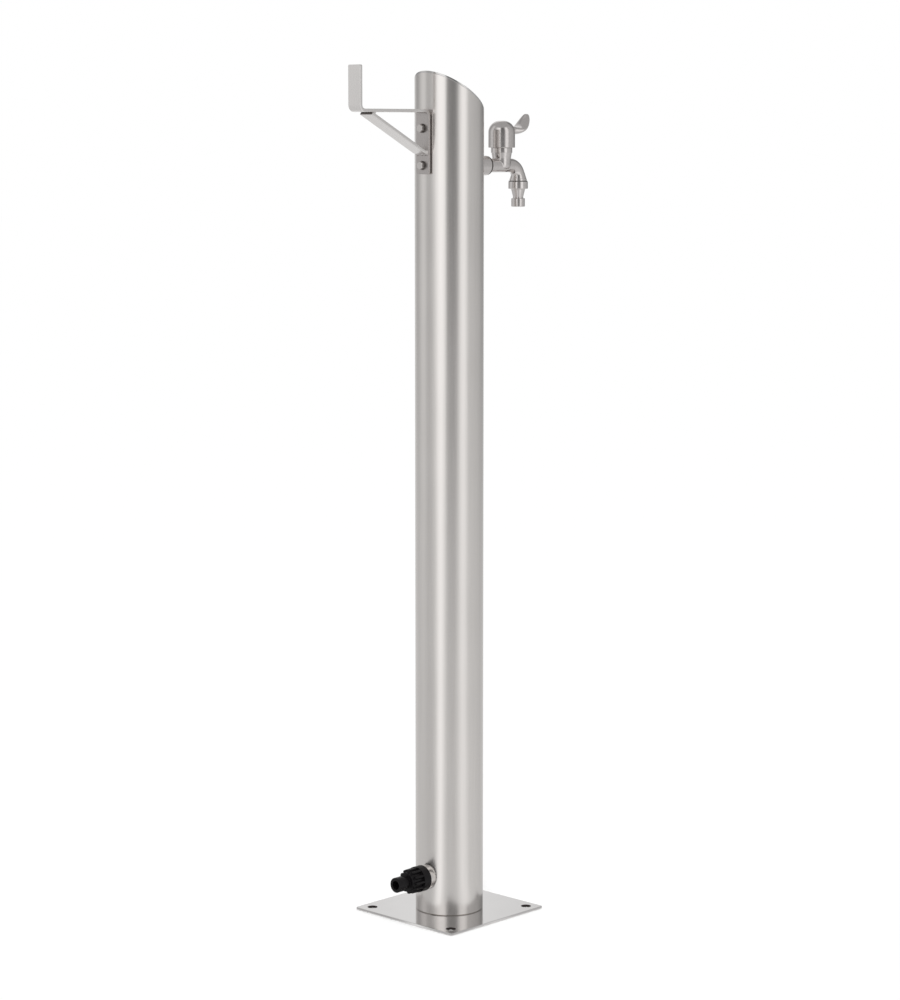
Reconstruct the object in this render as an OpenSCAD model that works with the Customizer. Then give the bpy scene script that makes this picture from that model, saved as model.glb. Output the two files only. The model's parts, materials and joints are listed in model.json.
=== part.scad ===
// Garden water column: a round stainless steel post on a bolted base plate, with a lever tap at its
// front, and a hose hook and a hose inlet at its back. Millimetres, +Z up, the tap towards -Y.
// The origin is on the post's axis, at the underside of the base plate.

/* [Column] */
// Outside diameter of the post
tube_d = 76; // [70:0.5:84]
// Wall of the post
tube_wall = 2; // [1.5:0.1:3]
// Height of the post's high side above the ground
column_h = 940; // [800:5:1100]
// Slope of the slanted top, falling towards the tap
slant_angle = 33; // [20:1:38]
// Thickness of the welded cap plate
cap_t = 2; // [1:0.5:4]

/* [Base plate] */
// Side of the square base plate
plate_w = 150; // [130:1:220]
// Thickness of the base plate
plate_t = 3; // [2:0.5:8]
// Rounding of the plate's corners
plate_corner_r = 2.5; // [1.5:0.5:10]
// Distance from a bolt hole's centre to the plate's sides
bolt_edge = 13.5; // [10:0.5:20]
// Diameter of the bolt holes
bolt_hole_d = 11; // [7:0.5:13]

/* [Hose hook] */
// Width of the hook's strap and brace
strap_w = 18.5; // [16:0.5:26]
// Thickness of the hook's strap and brace
strap_t = 3.5; // [2.5:0.25:5]
// Inside radius of the strap's bends
strap_bend_r = 4; // [1:0.5:5]
// Drop from the post's high side to the top of the hook's arm
hook_drop = 41.5; // [30:0.5:80]
// Reach of the hook from the post's surface to its outer face
hook_reach = 107; // [90:1:160]
// Height of the hook's upright above the arm
hook_upright_h = 46; // [30:1:80]
// Height of the hook's back plate, from the top of the arm
hook_plate_h = 70; // [66:1:90]
// Drop from the arm's top to the upper screw
hook_screw_drop = 20.5; // [17:0.5:24]
// Distance between the two screws
hook_screw_pitch = 40; // [36:0.5:44]
// Drop from the arm's top to the underside of the brace's foot
brace_drop = 48; // [44:0.5:50]
// Length of the brace's level foot on the back plate
brace_foot = 3.5; // [2.5:0.5:10]
// Space between the brace's upper end and the hook's upright
brace_inset = 14.5; // [8:0.5:24]

/* [Hook fasteners] */
// Thread diameter of the hook's screws
screw_d = 5; // [4:0.5:6]
// Hex size of the screw heads across their flats
screw_head_af = 8; // [7:0.5:10]
// Height of the screw heads
screw_head_h = 3.5; // [2.5:0.25:5]
// Outside diameter of the washers
washer_d = 10; // [9:0.5:12]
// Thickness of the washers
washer_t = 1; // [0.8:0.1:1.6]
// Body diameter of the rivet nuts
insert_d = 7; // [6.8:0.1:8]
// Flange diameter of the rivet nuts
insert_flange_d = 10; // [9:0.5:12]
// Flange thickness of the rivet nuts
insert_flange_t = 0.8; // [0.5:0.1:1.5]
// Length of the rivet nuts behind the post's surface
insert_len = 12; // [9:0.5:15]

/* [Inlet] */
// Height of the inlet's axis above the ground
inlet_z = 45; // [38:1:120]
// Diameter of the half-inch pipe thread on the inlet and the tap
pipe_thread_d = 20.9; // [20:0.1:21.5]
// Diameter of the waterway in the inlet bush
bush_bore = 15; // [12:0.5:16]
// Diameter of the steel inlet bush at the post
bush_d = 26.5; // [24:0.5:30]
// Length of the bush from the post's surface to its face
bush_len = 5.2; // [3:0.2:10]
// Length of the bush's outer thread
bush_thread_len = 10; // [8:0.5:14]

/* [Hose adapter] */
// Diameter of the adapter's smooth band
band_d = 29; // [27:0.5:34]
// Length of the adapter's smooth band
band_len = 10.2; // [9:0.2:14]
// Diameter of the ribbed grip at its outer end
grip_end_d = 27.5; // [25.5:0.5:28]
// Length of the ribbed grip
grip_len = 12.9; // [8:0.1:16]
// Number of grip ribs
grip_ribs = 12; // [8:1:16]
// Width of a grip rib
grip_rib_w = 3.4; // [1.5:0.1:4]
// Height of the ribs above the grip's core
grip_rib_h = 2.4; // [0.8:0.1:2.5]
// Diameter of the collar ring before the nipple
ring_d = 21.5; // [19:0.5:23]
// Length of the collar ring
ring_len = 3; // [2:0.1:7]
// Diameter of the nipple's waist
waist_d = 14; // [13:0.1:15]
// Length of the nipple's waist
waist_len = 7.4; // [5:0.1:10]
// Diameter of the nipple's bead
bead_d = 16.8; // [16:0.1:18]
// Length of the nipple's bead
bead_len = 9; // [6:0.1:12]
// Bore of the adapter
adapter_bore = 10; // [7:0.5:11]
// Thickness of the adapter's flat washer
adapter_washer_t = 2; // [1:0.25:3]

/* [Riser] */
// Outside diameter of the inner pipe
riser_d = 16; // [14:0.5:17]
// Wall of the inner pipe
riser_wall = 2; // [1.5:0.25:3]
// Outside diameter of the elbows' threaded sockets
elbow_d = 27; // [25:0.5:29]
// Diameter of the elbows' pipe legs
elbow_leg_d = 22; // [20.5:0.5:24]
// Length of the elbows' pipe legs from the corner
elbow_leg_len = 30; // [27:1:40]
// Depth of the pipe in the elbow
pipe_depth = 13; // [9:0.5:14]
// Bore of the elbows
elbow_bore = 12; // [10:0.5:13]
// Hex size of the compression nuts across their flats
riser_nut_af = 27; // [26.5:0.5:32]
// Height of the compression nuts
riser_nut_h = 16; // [14:0.5:20]
// Height of the compression rings
olive_h = 5; // [3:0.5:6]

/* [Tap] */
// Drop from the post's high side to the tap's inlet axis
tap_drop = 103; // [96:1:300]
// Distance from the post's surface to the handle's axis
tap_reach = 46.5; // [40:0.5:70]
// Distance from the handle's axis to the spout's axis
spout_reach = 27.5; // [25:0.5:40]
// Diameter of the collar at the post
collar_d = 22; // [21.5:0.5:28]
// Length of the collar
collar_len = 18; // [8:0.5:21]
// Thickness of the saddle washer on the post's crown
saddle_t = 1.5; // [1:0.1:3]
// How far the saddle washer stands out around the collar
saddle_lip = 0.8; // [0.4:0.1:2]
// Hex size of the tap's locknut across its flats
locknut_af = 27; // [25:0.5:29]
// Thickness of the tap's locknut
locknut_t = 6; // [4:0.5:7]
// Depth of the pipe thread in an elbow
thread_depth = 12; // [8:0.5:14]
// Diameter of the tap's neck
neck_d = 15.5; // [15:0.25:19]
// Radius of the spout's bend, on its centre line
spout_bend_r = 14.5; // [13:0.5:18]
// Diameter of the spout's end
spout_end_d = 19.5; // [18:0.5:21]
// Drop from the tap's axis to the spout's end
spout_drop = 17.5; // [16:0.5:26]
// Bore of the spout
spout_bore = 8; // [6:0.5:9]
// Diameter of the spout's outlet thread
outlet_thread_d = 16.6; // [15:0.1:17.5]
// Length of the spout's outlet thread
outlet_thread_len = 7; // [5:0.5:8]
// Diameter of the tap's bonnet
bonnet_d = 24; // [22:0.5:26]
// Height of the bonnet's top above the tap's axis
bonnet_top = 19; // [18:0.5:24]

/* [Ball valve] */
// Diameter of the valve ball
ball_d = 10.6; // [9.5:0.1:10.8]
// Bore of the valve ball
ball_bore = 6.5; // [5:0.1:7]
// Diameter of the valve chamber
chamber_d = 11.4; // [11:0.1:11.8]
// Thickness of the ball's seats
seat_t = 3; // [2.5:0.1:3.5]
// Length of the seat retainer
retainer_len = 5; // [3:0.5:8]
// Diameter of the stem
stem_d = 6.9; // [6:0.1:7.4]
// Thickness of the stem's driving blade
blade_t = 2; // [1.6:0.1:2.6]
// Depth of the blade in the ball
blade_depth = 1.6; // [1:0.1:1.8]
// Diameter of the stem's collar
stem_collar_d = 10; // [9:0.5:10.5]
// Diameter of the gland nut's thread
gland_thread_d = 13; // [12:0.1:14]
// Depth of the gland nut's thread below the bonnet's top
gland_depth = 4.6; // [3.5:0.1:5]
// Hex size of the gland nut across its flats
gland_af = 17; // [15:0.5:18]
// Height of the gland nut's hex
gland_hex_h = 5; // [3:0.5:7]
// Thickness of the stem's O-rings
stem_oring_t = 1.4; // [1:0.1:1.6]

/* [Handle] */
// Diameter of the domed handle cap
handle_d = 30; // [28.5:0.5:34]
// Height of the domed handle cap
handle_h = 30; // [26:0.5:36]
// Radius of the cap's dome
dome_r = 13; // [9:0.5:14]
// Wall of the handle's hollow skirt
skirt_wall = 2.5; // [1.5:0.1:3]
// Depth of the handle's hollow
hollow_depth = 11.5; // [9:0.5:13]
// Slope of the lever's paddle
paddle_angle = 47; // [35:1:60]
// Width of the lever's paddle
paddle_w = 19; // [14:0.5:24]
// Thickness of the lever's paddle
paddle_t = 4.5; // [3:0.25:6]
// Distance from the handle's axis to the paddle's heel
lever_reach = 25; // [22:0.5:32]
// Length of the paddle from its heel
paddle_len = 29.5; // [24:0.5:36]
// Height of the lever's neck above the tap's axis
lever_z = 38.5; // [36:0.5:42]
// Thickness of the lever's neck
lever_neck_t = 8; // [6:0.5:10]
// Diameter of the handle's grub screw
grub_d = 4; // [3:0.5:5]
// Length of the handle's grub screw
grub_len = 8; // [5:0.5:10]

/* [Outlet nozzle] */
// Diameter of the nozzle's nut
nozzle_nut_d = 22.2; // [20.5:0.1:26]
// Height of the nozzle's nut
nozzle_nut_h = 9; // [8:0.5:12]
// Diameter of the nozzle's shoulder
nozzle_shoulder_d = 16; // [14:0.5:18]
// Height of the nozzle's tapered shoulder
nozzle_shoulder_h = 8.5; // [6:0.5:10]
// Diameter of the nozzle's waist
nozzle_waist_d = 11.8; // [11:0.1:13]
// Height of the nozzle's waist
nozzle_waist_h = 2; // [1.5:0.5:4]
// Diameter of the nozzle's bead
nozzle_bead_d = 15.5; // [14.5:0.1:16.5]
// Height of the nozzle's bead
nozzle_bead_h = 9.5; // [7:0.5:12]
// Bore of the nozzle
nozzle_bore = 8; // [6:0.5:9]
// Thickness of the nozzle's flat washer
nozzle_washer_t = 1.5; // [1:0.25:2]

/* [Hidden] */
$fn = 96;

// Clearances
fit_gap = 0.05;      // radial room between a shaft, thread or pipe and its hole
seat_gap = 0.05;     // room between welded or clamped curved faces
run_gap = 0.3;       // room between turning faces that only pass each other
hole_gap = 0.25;     // radial room of a bolt or pipe in a drilled wall
cut = 1;             // how far a cutter reaches past the face that it opens
facets = 32;         // sides of the rounded pieces that are blended together

// Colours
steel = "#b9b7b5";
polished = "#c9c8c8";
black_plastic = "#2a2829";
brass = "#b79a5a";
rubber = "#202020";
pipe_white = "#e6e6e2";
ptfe = "#f2f2ee";

// The post
tube_r = tube_d / 2;
inner_r = tube_r - tube_wall;
bolt_spacing = plate_w - 2 * bolt_edge;

// The hook, seen from the side: y outwards, z up
hook_y0 = tube_r + insert_flange_t + seat_gap;
hook_y1 = hook_y0 + strap_t;
upright_y1 = tube_r + hook_reach;
upright_y0 = upright_y1 - strap_t;
arm_z1 = column_h - hook_drop;
arm_z0 = arm_z1 - strap_t;
outer_bend_r = strap_bend_r + strap_t;
screw_zs = [arm_z1 - hook_screw_drop, arm_z1 - hook_screw_drop - hook_screw_pitch];
screw_hole_d = screw_d + 2 * hole_gap;
washer_y1 = hook_y1 + washer_t;
insert_bulge_d = insert_d + 2;
insert_bulge_h = 3;
weld_bite = 0.6;
brace_z = arm_z1 - brace_drop + strap_t / 2;

// The waterway between the two elbows
locknut_r = locknut_af / 2 / cos(30);
locknut_y1 = sqrt(pow(inner_r, 2) - pow(locknut_r, 2)) - hole_gap;
elbow_y1 = locknut_y1 - locknut_t - run_gap;
thread_y0 = elbow_y1 - thread_depth;
wall_hole_d = pipe_thread_d + 2 * hole_gap;
tap_z = column_h - tap_drop;
leg_stop = elbow_leg_len - pipe_depth;
olive_wall = (elbow_leg_d - riser_d) / 4;
nut_engage = riser_nut_h - olive_h - 3;

// The inlet, along +Y
bush_y1 = tube_r + bush_len;
bush_tip_y = bush_y1 + bush_thread_len;
adapter_y0 = bush_y1 + run_gap;
washer_seat_y = bush_tip_y + adapter_washer_t;
band_y1 = adapter_y0 + band_len;
grip_y1 = band_y1 + grip_len;
ring_y1 = grip_y1 + ring_len;
waist_y1 = ring_y1 + waist_len;
bead_y1 = waist_y1 + bead_len;
bead_chamfer = 1;

// The tap, in its own frame: the handle's axis is z, and the inlet's axis is y
tap_y = -(tube_r + tap_reach);
collar_y1 = tap_reach - saddle_t;
collar_y0 = collar_y1 - collar_len;
tail_y1 = -tap_y - thread_y0;
bend_y = spout_bend_r - spout_reach;
seat_y1 = ball_d / 2 + 0.6;
seat_y0 = seat_y1 - seat_t;
retainer_y1 = seat_y1 + retainer_len;
stem_bore_d = stem_d + 2 * fit_gap;
gland_z0 = bonnet_top - gland_depth;
stem_collar_h = 2;
stem_collar_z0 = gland_z0 - run_gap - stem_collar_h;
thrust_t = 1;
thrust_z0 = stem_collar_z0 - fit_gap - thrust_t;
gland_top = bonnet_top + gland_hex_h;
stem_oring_zs = [gland_z0 + 1.8, gland_top - 1.8];
handle_z0 = bonnet_top + 0.5;
handle_z1 = handle_z0 + handle_h;
hollow_z1 = handle_z0 + hollow_depth;
stem_top = handle_z1 - 7;
blade_z0 = ball_d / 2 - blade_depth;
grub_z = (hollow_z1 + stem_top) / 2;
stem_flat = 0.6;

// The nozzle, downwards from the spout's end
nozzle_z1 = -spout_drop;
outlet_tip_z = nozzle_z1 - outlet_thread_len;
nozzle_seat_z = outlet_tip_z - nozzle_washer_t;
shoulder_z1 = nozzle_z1 - nozzle_nut_h;
waist_z1 = shoulder_z1 - nozzle_shoulder_h;
nozzle_bead_z1 = waist_z1 - nozzle_waist_h;
nozzle_z0 = nozzle_bead_z1 - nozzle_bead_h;
edge = 0.8;

// Shapes that repeat

// A round bar along Y
module bar_y(y0, y1, d) {
    translate([0, y0, 0]) rotate([-90, 0, 0]) cylinder(d = d, h = y1 - y0);
}

// A round bar along Z
module bar_z(z0, z1, d) {
    translate([0, 0, z0]) cylinder(d = d, h = z1 - z0);
}

// A hexagonal bar along Z, by its size across the flats
module hex_z(z0, z1, af) {
    translate([0, 0, z0]) cylinder(d = af / cos(30), h = z1 - z0, $fn = 6);
}

// A side view drawn in y and z, made as wide as the strap
module strap_side() {
    translate([-strap_w / 2, 0, 0]) rotate([90, 0, 90]) linear_extrude(strap_w) children();
}

// A ring of round section around Z
module oring(d, t, z) {
    translate([0, 0, z]) rotate_extrude() translate([(d - t) / 2, 0]) circle(d = t, $fn = facets);
}

// The space between two planes that lie parallel to the slanted top
module slant_slab(depth, height) {
    translate([0, tube_r, column_h]) rotate([slant_angle, 0, 0])
        translate([-tube_d, -2 * tube_d, -depth]) cube([2 * tube_d, 4 * tube_d, height]);
}

module at_tap() {
    translate([0, tap_y, tap_z]) children();
}

module at_screws() {
    for (z = screw_zs) translate([0, 0, z]) children();
}

// The post

module base_plate() {
    color(steel) linear_extrude(plate_t) difference() {
        union() {
            square([plate_w, plate_w - 2 * plate_corner_r], center = true);
            square([plate_w - 2 * plate_corner_r, plate_w], center = true);
            for (x = [-1, 1], y = [-1, 1])
                translate([x, y] * (plate_w / 2 - plate_corner_r)) circle(r = plate_corner_r);
        }
        for (x = [-1, 1], y = [-1, 1]) translate([x, y] * bolt_spacing / 2) circle(d = bolt_hole_d);
    }
}

module column_tube() {
    color(steel) difference() {
        bar_z(plate_t, column_h, tube_d);
        bar_z(plate_t - cut, column_h, 2 * inner_r);
        slant_slab(cap_t, 2 * tube_d);
        translate([0, 0, tap_z]) bar_y(-tube_d, 0, wall_hole_d);
        translate([0, 0, inlet_z]) bar_y(0, tube_d, wall_hole_d);
        at_screws() bar_y(0, tube_d, insert_d + 2 * fit_gap);
    }
}

module top_cap() {
    color(steel) intersection() {
        bar_z(column_h / 2, column_h, tube_d);
        slant_slab(cap_t, cap_t);
    }
}

// The hose hook

// One quarter of a bend, in the corner that y_side and z_side point to
module strap_bend(y_side, z_side) {
    intersection() {
        difference() {
            circle(r = outer_bend_r);
            circle(r = strap_bend_r);
        }
        translate([y_side, z_side] * outer_bend_r / 2) square(outer_bend_r, center = true);
    }
}

module hook_strap() {
    color(steel) difference() {
        strap_side() {
            translate([hook_y0, arm_z1 - hook_plate_h]) square([strap_t, hook_plate_h - outer_bend_r]);
            translate([hook_y0 + outer_bend_r, arm_z1 - outer_bend_r]) strap_bend(-1, 1);
            translate([hook_y0 + outer_bend_r, arm_z0])
                square([upright_y1 - hook_y0 - 2 * outer_bend_r, strap_t]);
            translate([upright_y1 - outer_bend_r, arm_z0 + outer_bend_r]) strap_bend(1, -1);
            translate([upright_y0, arm_z0 + outer_bend_r])
                square([strap_t, hook_upright_h + strap_t - outer_bend_r]);
        }
        at_screws() bar_y(hook_y0 - cut, hook_y1 + cut, screw_hole_d);
    }
}

// A strap with a level foot on the back plate and a square-cut upper end under the arm
module hook_brace() {
    foot_end = [hook_y1 + brace_foot, brace_z];
    tip = [upright_y0 - brace_inset, arm_z0 - strap_t / 2 + weld_bite];
    rise = tip - foot_end;
    color(steel) difference() {
        strap_side() {
            translate([hook_y1, brace_z - strap_t / 2]) square([brace_foot, strap_t]);
            translate(foot_end) circle(d = strap_t);
            translate(foot_end) rotate(atan2(rise[1], rise[0]))
                translate([0, -strap_t / 2]) square([norm(rise), strap_t]);
        }
        translate([-strap_w, 0, arm_z0]) cube([2 * strap_w, 2 * upright_y1, 2 * strap_t]);
    }
}

module hook_screws() {
    shank_y0 = tube_r - insert_len + 1;
    color(polished) at_screws() {
        bar_y(shank_y0, washer_y1, screw_d);
        rotate([-90, 0, 0]) hex_z(washer_y1, washer_y1 + screw_head_h, screw_head_af);
    }
}

module hook_washers() {
    color(polished) at_screws() difference() {
        bar_y(hook_y1, washer_y1, washer_d);
        bar_y(hook_y1 - cut, washer_y1 + cut, screw_hole_d);
    }
}

// Each rivet nut has a flange outside the post and a squeezed bulge inside it
module hook_rivet_nuts() {
    bulge_y1 = sqrt(pow(inner_r, 2) - pow(insert_bulge_d / 2, 2)) - seat_gap;
    color(polished) at_screws() difference() {
        union() {
            bar_y(tube_r + seat_gap, hook_y0, insert_flange_d);
            bar_y(tube_r - insert_len, hook_y0, insert_d);
            bar_y(bulge_y1 - insert_bulge_h, bulge_y1, insert_bulge_d);
        }
        bar_y(tube_r - insert_len - cut, hook_y0 + cut, screw_d + 2 * fit_gap);
    }
}

// The inlet

// A threaded bush, shaped to the post's wall and threaded at both ends
module inlet_bush() {
    color(polished) translate([0, 0, inlet_z]) difference() {
        union() {
            difference() {
                bar_y(0, bush_y1, bush_d);
                cylinder(r = tube_r + seat_gap, h = 2 * bush_d, center = true);
            }
            bar_y(thread_y0, bush_tip_y, pipe_thread_d);
        }
        bar_y(thread_y0 - cut, bush_tip_y + cut, bush_bore);
    }
}

module inlet_washer() {
    color(rubber) translate([0, 0, inlet_z]) difference() {
        bar_y(bush_tip_y, washer_seat_y, pipe_thread_d);
        bar_y(bush_tip_y - cut, washer_seat_y + cut, adapter_bore);
    }
}

// A moulded hose adapter: smooth band, ribbed grip, collar ring, then the nipple with its bead
module inlet_adapter() {
    band_r = band_d / 2;
    grip_r0 = band_r - grip_rib_h;
    grip_r1 = grip_end_d / 2;
    color(black_plastic) translate([0, 0, inlet_z]) difference() {
        union() {
            rotate([-90, 0, 0]) rotate_extrude() polygon([
                [0, adapter_y0],
                [band_r - edge, adapter_y0],
                [band_r, adapter_y0 + edge],
                [band_r, band_y1 - edge],
                [band_r - edge, band_y1],
                [grip_r0 - edge, band_y1],
                [grip_r1 - grip_rib_h, grip_y1],
                [ring_d / 2, grip_y1],
                [ring_d / 2, ring_y1 - edge],
                [ring_d / 2 - edge, ring_y1],
                [waist_d / 2, ring_y1],
                [waist_d / 2, waist_y1 - edge],
                [bead_d / 2, waist_y1],
                [bead_d / 2, bead_y1 - bead_chamfer],
                [bead_d / 2 - bead_chamfer, bead_y1],
                [0, bead_y1]
            ]);
            intersection() {
                rotate([-90, 0, 0]) rotate_extrude() polygon([
                    [adapter_bore, band_y1 - edge],
                    [band_r - edge, band_y1 - edge],
                    [grip_r1, grip_y1],
                    [adapter_bore, grip_y1]
                ]);
                for (i = [0 : grip_ribs - 1])
                    rotate([0, i * 360 / grip_ribs, 0])
                        translate([-grip_rib_w / 2, band_y1 - cut, 0]) cube([grip_rib_w, grip_len + cut, band_d]);
            }
        }
        bar_y(adapter_y0 - cut, washer_seat_y, pipe_thread_d + 2 * fit_gap);
        bar_y(0, bead_y1 + cut, adapter_bore);
    }
}

// The pipework inside the post

// A threaded socket towards +Y and a pipe leg towards +Z
module elbow() {
    color(brass) difference() {
        union() {
            bar_y(0, elbow_y1, elbow_d);
            sphere(d = elbow_d + 2 * edge);
            bar_z(0, elbow_leg_len, elbow_leg_d);
        }
        bar_y(thread_y0, elbow_y1 + cut, pipe_thread_d + 2 * fit_gap);
        bar_y(0, elbow_y1, elbow_bore + edge);
        bar_z(0, elbow_leg_len + cut, elbow_bore);
        bar_z(leg_stop, elbow_leg_len + cut, riser_d + 2 * fit_gap);
    }
}

module at_lower_elbow() {
    translate([0, 0, inlet_z]) children();
}

module at_upper_elbow() {
    translate([0, 0, tap_z]) rotate([180, 0, 0]) children();
}

module lower_elbow() {
    at_lower_elbow() elbow();
}

module upper_elbow() {
    at_upper_elbow() elbow();
}

module riser_pipe() {
    color(pipe_white) difference() {
        bar_z(inlet_z + leg_stop, tap_z - leg_stop, riser_d);
        bar_z(inlet_z, tap_z, riser_d - 2 * riser_wall);
    }
}

module riser_nut() {
    z0 = elbow_leg_len - nut_engage;
    difference() {
        hex_z(z0, z0 + riser_nut_h, riser_nut_af);
        bar_z(z0 - cut, elbow_leg_len, elbow_leg_d + 2 * fit_gap);
        bar_z(z0, elbow_leg_len + olive_h, riser_d + 2 * olive_wall + 2 * fit_gap);
        bar_z(z0, z0 + riser_nut_h + cut, riser_d + 2 * hole_gap);
    }
}

module riser_nuts() {
    color(brass) {
        at_lower_elbow() riser_nut();
        at_upper_elbow() riser_nut();
    }
}

module riser_olive() {
    difference() {
        bar_z(elbow_leg_len, elbow_leg_len + olive_h, riser_d + 2 * olive_wall);
        bar_z(elbow_leg_len - cut, elbow_leg_len + olive_h + cut, riser_d + 2 * fit_gap);
    }
}

module riser_olives() {
    color(brass) {
        at_lower_elbow() riser_olive();
        at_upper_elbow() riser_olive();
    }
}

// The tap

// A washer that is flat towards the tap and hollow towards the post
module tap_saddle() {
    color(rubber) translate([0, 0, tap_z]) difference() {
        bar_y(-tube_r - saddle_t, 0, collar_d + 2 * saddle_lip);
        bar_y(-tube_d, cut, pipe_thread_d + 2 * fit_gap);
        cylinder(r = tube_r + seat_gap, h = 2 * collar_d, center = true);
    }
}

module tap_locknut() {
    color(brass) translate([0, 0, tap_z]) difference() {
        rotate([90, 0, 0]) hex_z(locknut_y1 - locknut_t, locknut_y1, locknut_af);
        bar_y(-tube_r, 0, pipe_thread_d + 2 * fit_gap);
    }
}

// The neck, its bend and the spout as one round bar, from y_end to z_end
module neck_and_spout(d, y_end, z_end) {
    bar_y(bend_y, y_end, d);
    translate([0, bend_y, -spout_bend_r]) rotate([0, -90, 180])
        rotate_extrude(angle = 90) translate([spout_bend_r, 0]) circle(d = d);
    translate([0, -spout_reach, 0]) bar_z(z_end, -spout_bend_r, d);
}

module tap_body() {
    waist_z = 1;
    hip_z = 8;
    rim_z = bonnet_top - 4;
    flare_h = 9;
    color(polished) at_tap() difference() {
        union() {
            bar_y(collar_y0, collar_y1, collar_d);
            bar_y(collar_y1 - cut, tail_y1, pipe_thread_d);
            neck_and_spout(neck_d, collar_y0 + cut, nozzle_z1);
            translate([0, -spout_reach, nozzle_z1])
                cylinder(d1 = spout_end_d, d2 = neck_d - edge, h = flare_h);
            translate([0, -spout_reach, outlet_tip_z])
                cylinder(d = outlet_thread_d, h = outlet_thread_len + cut);
            rotate_extrude() polygon([
                [0, -waist_z],
                [neck_d / 2 - edge, -waist_z],
                [neck_d / 2 - edge, waist_z],
                [(neck_d + bonnet_d) / 4 - edge / 2, hip_z],
                [bonnet_d / 2, rim_z],
                [bonnet_d / 2, bonnet_top - edge],
                [bonnet_d / 2 - edge, bonnet_top],
                [0, bonnet_top]
            ]);
        }
        bar_y(-seat_y1, tail_y1 + cut, chamber_d);
        neck_and_spout(spout_bore, 0, outlet_tip_z - cut);
        bar_z(0, bonnet_top, stem_bore_d);
        bar_z(thrust_z0, bonnet_top + cut, gland_thread_d);
    }
}

// Two soft rings, hollowed to the ball
module ball_seats() {
    color(ptfe) at_tap() for (side = [0, 180]) rotate([0, 0, side]) difference() {
        bar_y(seat_y0, seat_y1, chamber_d - 2 * fit_gap);
        bar_y(0, seat_y1 + cut, ball_bore + edge);
        sphere(d = ball_d + 2 * fit_gap);
    }
}

module seat_retainer() {
    color(brass) at_tap() difference() {
        bar_y(seat_y1, retainer_y1, chamber_d - 2 * fit_gap);
        bar_y(0, retainer_y1 + cut, ball_bore + 2 * edge);
    }
}

// At rest the ball's bore lies across the waterway, which is closed
module valve_ball() {
    color(polished) at_tap() difference() {
        sphere(d = ball_d);
        rotate([0, 0, 90]) bar_y(-ball_d, ball_d, ball_bore);
        translate([0, 0, blade_z0 + ball_d / 2])
            cube([ball_d, blade_t + 2 * fit_gap, ball_d], center = true);
    }
}

module thrust_washer() {
    color(ptfe) at_tap() difference() {
        bar_z(thrust_z0, thrust_z0 + thrust_t, gland_thread_d - 2 * fit_gap);
        bar_z(thrust_z0 - cut, thrust_z0 + thrust_t + cut, stem_bore_d + 2 * run_gap);
    }
}

// The stem's blade sits in the ball's slot, and its flat takes the handle's grub screw
module tap_stem() {
    shoulder_z = chamber_d / 2 + run_gap;
    blade_w = 2 * (seat_y0 - run_gap);
    color(polished) at_tap() difference() {
        union() {
            intersection() {
                bar_z(blade_z0 + fit_gap, shoulder_z + cut, blade_w);
                cube([ball_d, blade_t, ball_d * 2], center = true);
            }
            bar_z(shoulder_z, stem_top, stem_d);
            bar_z(stem_collar_z0, stem_collar_z0 + stem_collar_h, stem_collar_d);
        }
        for (z = stem_oring_zs) translate([0, 0, z - stem_oring_t / 2]) difference() {
            cylinder(d = stem_d + cut, h = stem_oring_t);
            translate([0, 0, -cut]) cylinder(d = stem_d - 2 * stem_oring_t, h = stem_oring_t + 2 * cut);
        }
        translate([stem_d / 2 - stem_flat, -stem_d, hollow_z1]) cube([stem_d, 2 * stem_d, handle_h]);
    }
}

module stem_orings() {
    color(rubber) at_tap() for (z = stem_oring_zs) oring(stem_d, stem_oring_t, z);
}

module gland_nut() {
    color(brass) at_tap() difference() {
        union() {
            bar_z(gland_z0, bonnet_top, gland_thread_d - 2 * fit_gap);
            hex_z(bonnet_top, gland_top, gland_af);
        }
        bar_z(gland_z0 - cut, gland_top + cut, stem_bore_d);
    }
}

// The handle

// A flat round piece with a full round edge
module pebble(d, t) {
    cylinder(d = d - t, h = t, center = true, $fn = facets);
    rotate_extrude($fn = facets) translate([(d - t) / 2, 0]) circle(d = t, $fn = facets / 2);
}

// The paddle's own frame: its heel is the origin, and it rises towards -Y
module at_paddle(along) {
    translate([0, -lever_reach, lever_z - (lever_neck_t - paddle_t) / 2])
        rotate([-paddle_angle, 0, 0]) translate([0, -along, 0]) children();
}

module lever() {
    heel_d = paddle_w * 0.55;
    hull() {
        translate([0, -handle_d / 2 + lever_neck_t, lever_z]) sphere(d = lever_neck_t, $fn = facets);
        at_paddle(0) pebble(heel_d, paddle_t);
    }
    hull() {
        at_paddle(0) pebble(heel_d, paddle_t);
        at_paddle(paddle_len - paddle_w / 2 - heel_d / 2) pebble(paddle_w, paddle_t);
    }
}

module tap_handle() {
    color(polished) at_tap() difference() {
        union() {
            rotate_extrude() {
                translate([0, handle_z0 + edge]) square([handle_d / 2, handle_h - dome_r - edge]);
                translate([0, handle_z0]) square([handle_d / 2 - edge, handle_h - dome_r]);
                translate([handle_d / 2 - edge, handle_z0 + edge]) circle(r = edge);
                translate([0, handle_z1 - dome_r - cut]) square([handle_d / 2 - dome_r, dome_r + cut]);
                intersection() {
                    translate([handle_d / 2 - dome_r, handle_z1 - dome_r]) circle(r = dome_r);
                    translate([0, handle_z1 - dome_r]) square([handle_d / 2, dome_r]);
                }
            }
            lever();
        }
        bar_z(handle_z0 - cut, hollow_z1, handle_d - 2 * skirt_wall);
        bar_z(handle_z0, stem_top + fit_gap, stem_bore_d);
        translate([0, 0, grub_z]) rotate([0, 0, -90]) bar_y(0, handle_d, grub_d + 2 * fit_gap);
    }
}

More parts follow.
